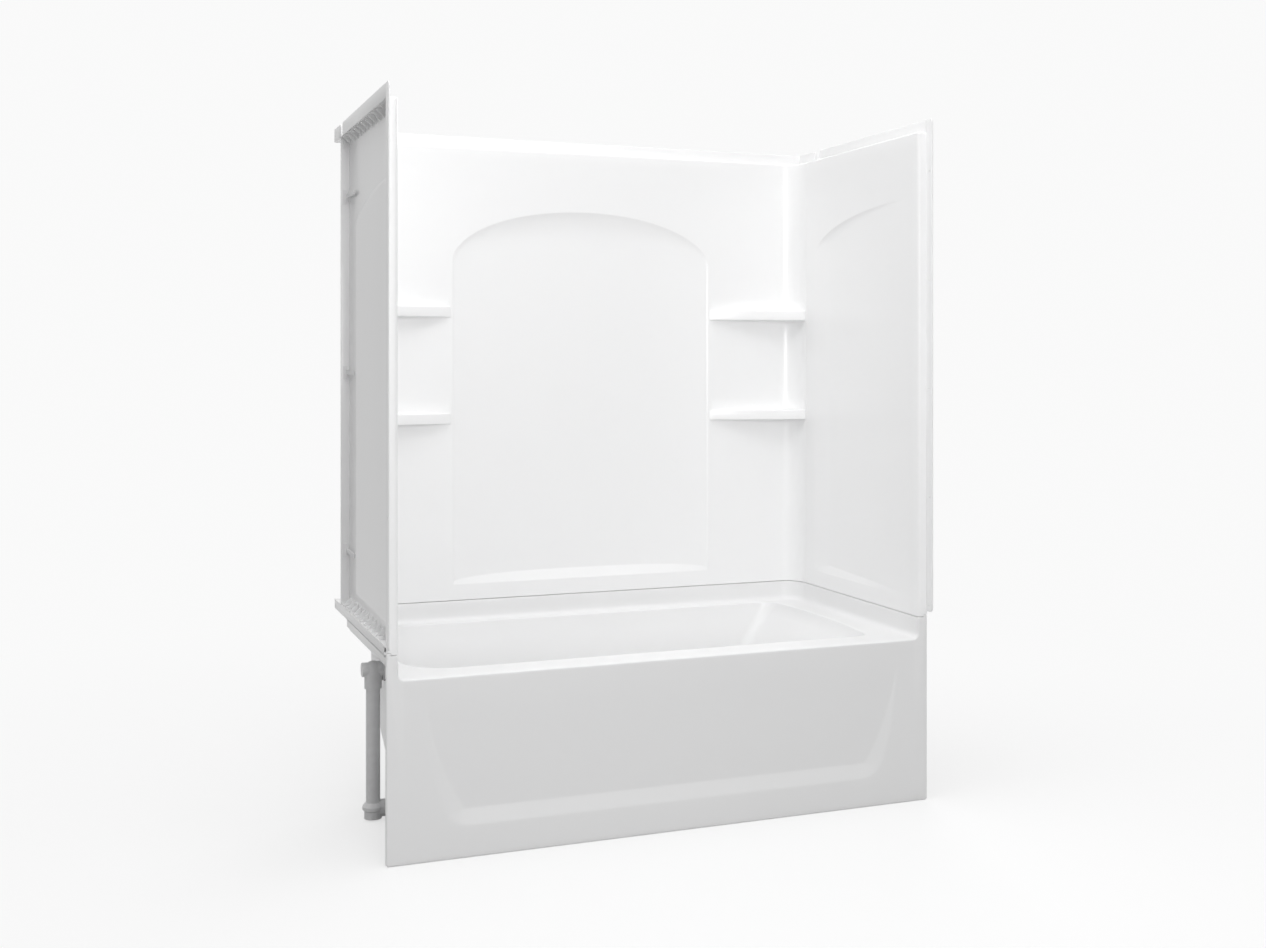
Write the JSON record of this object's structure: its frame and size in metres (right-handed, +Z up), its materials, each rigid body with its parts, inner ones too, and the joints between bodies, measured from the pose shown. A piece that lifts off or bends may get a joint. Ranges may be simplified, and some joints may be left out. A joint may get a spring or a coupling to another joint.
{
  "type": "alcove bathtub and shower surround",
  "caption": "White alcove bath with a sloped backrest, a moulded wall surround with shelves and an arched panel, and a pop-up waste and overflow.",
  "frame": {"origin": "on the floor in the middle of the footprint", "axes": "+X along the tub away from the drain end, +Y from the apron to the back, +Z up"},
  "size_m": [1.53, 0.798, 1.912],
  "materials": {
    "white_moulding": "glossy",
    "feet_plastic": "matte",
    "clip_plastic": "satin",
    "pipe_plastic": "satin",
    "nut_plastic": "satin",
    "gasket_rubber": "matte",
    "chrome_trim": "polished",
    "steel_pin": "bright",
    "brass_linkage": "plain"
  },
  "bodies": {
    "surround": {"tub": "white_moulding", "support_feet": "feet_plastic", "back_wall": "white_moulding", "left_end_wall": "white_moulding", "right_end_wall": "white_moulding", "left_corner_clips": "clip_plastic", "right_corner_clips": "clip_plastic", "overflow_elbow": "pipe_plastic", "overflow_gasket": "gasket_rubber", "overflow_plate": "chrome_trim", "overflow_plate_screws": "chrome_trim", "lever_pivot_pin": "steel_pin", "overflow_tube": "pipe_plastic", "waste_tee": "pipe_plastic", "waste_arm": "pipe_plastic", "arm_slip_nut": "nut_plastic", "drain_shoe": "pipe_plastic", "shoe_gasket": "gasket_rubber", "drain_flange": "chrome_trim"},
    "lever": {"trip_lever": "chrome_trim"},
    "linkage": {"linkage_pin": "steel_pin", "linkage_rod": "brass_linkage", "linkage_spring": "steel_pin"},
    "rocker": {"rocker_arm": "brass_linkage"},
    "stopper": {"stopper": "chrome_trim", "stopper_seal": "gasket_rubber"}
  },
  "joints": [
    {"name": "trip_lever_swing", "type": "hinge", "parent": "surround", "child": "lever", "pos_m": [-0.703, 0.015, 0.404], "axis": [0, -1, 0], "range_deg": [0, 36]},
    {"name": "linkage_slide", "type": "slide", "parent": "surround", "child": "linkage", "axis": [0, 0, -1], "range_m": [0, 0.01365]},
    {"name": "rocker_swing", "type": "hinge", "parent": "surround", "child": "rocker", "pos_m": [-0.615, 0.015, 0.029], "axis": [0, -1, 0], "range_deg": [0, 7.18]},
    {"name": "stopper_lift", "type": "slide", "parent": "surround", "child": "stopper", "axis": [0, 0, 1], "range_m": [0, 0.01502]}
  ],
  "couplings": [
    {"joint": "linkage_slide", "follows": "trip_lever_swing", "m_per_rad": 0.021719},
    {"joint": "rocker_swing", "follows": "trip_lever_swing", "ratio": 0.19939},
    {"joint": "stopper_lift", "follows": "trip_lever_swing", "m_per_rad": 0.023911}
  ]
}
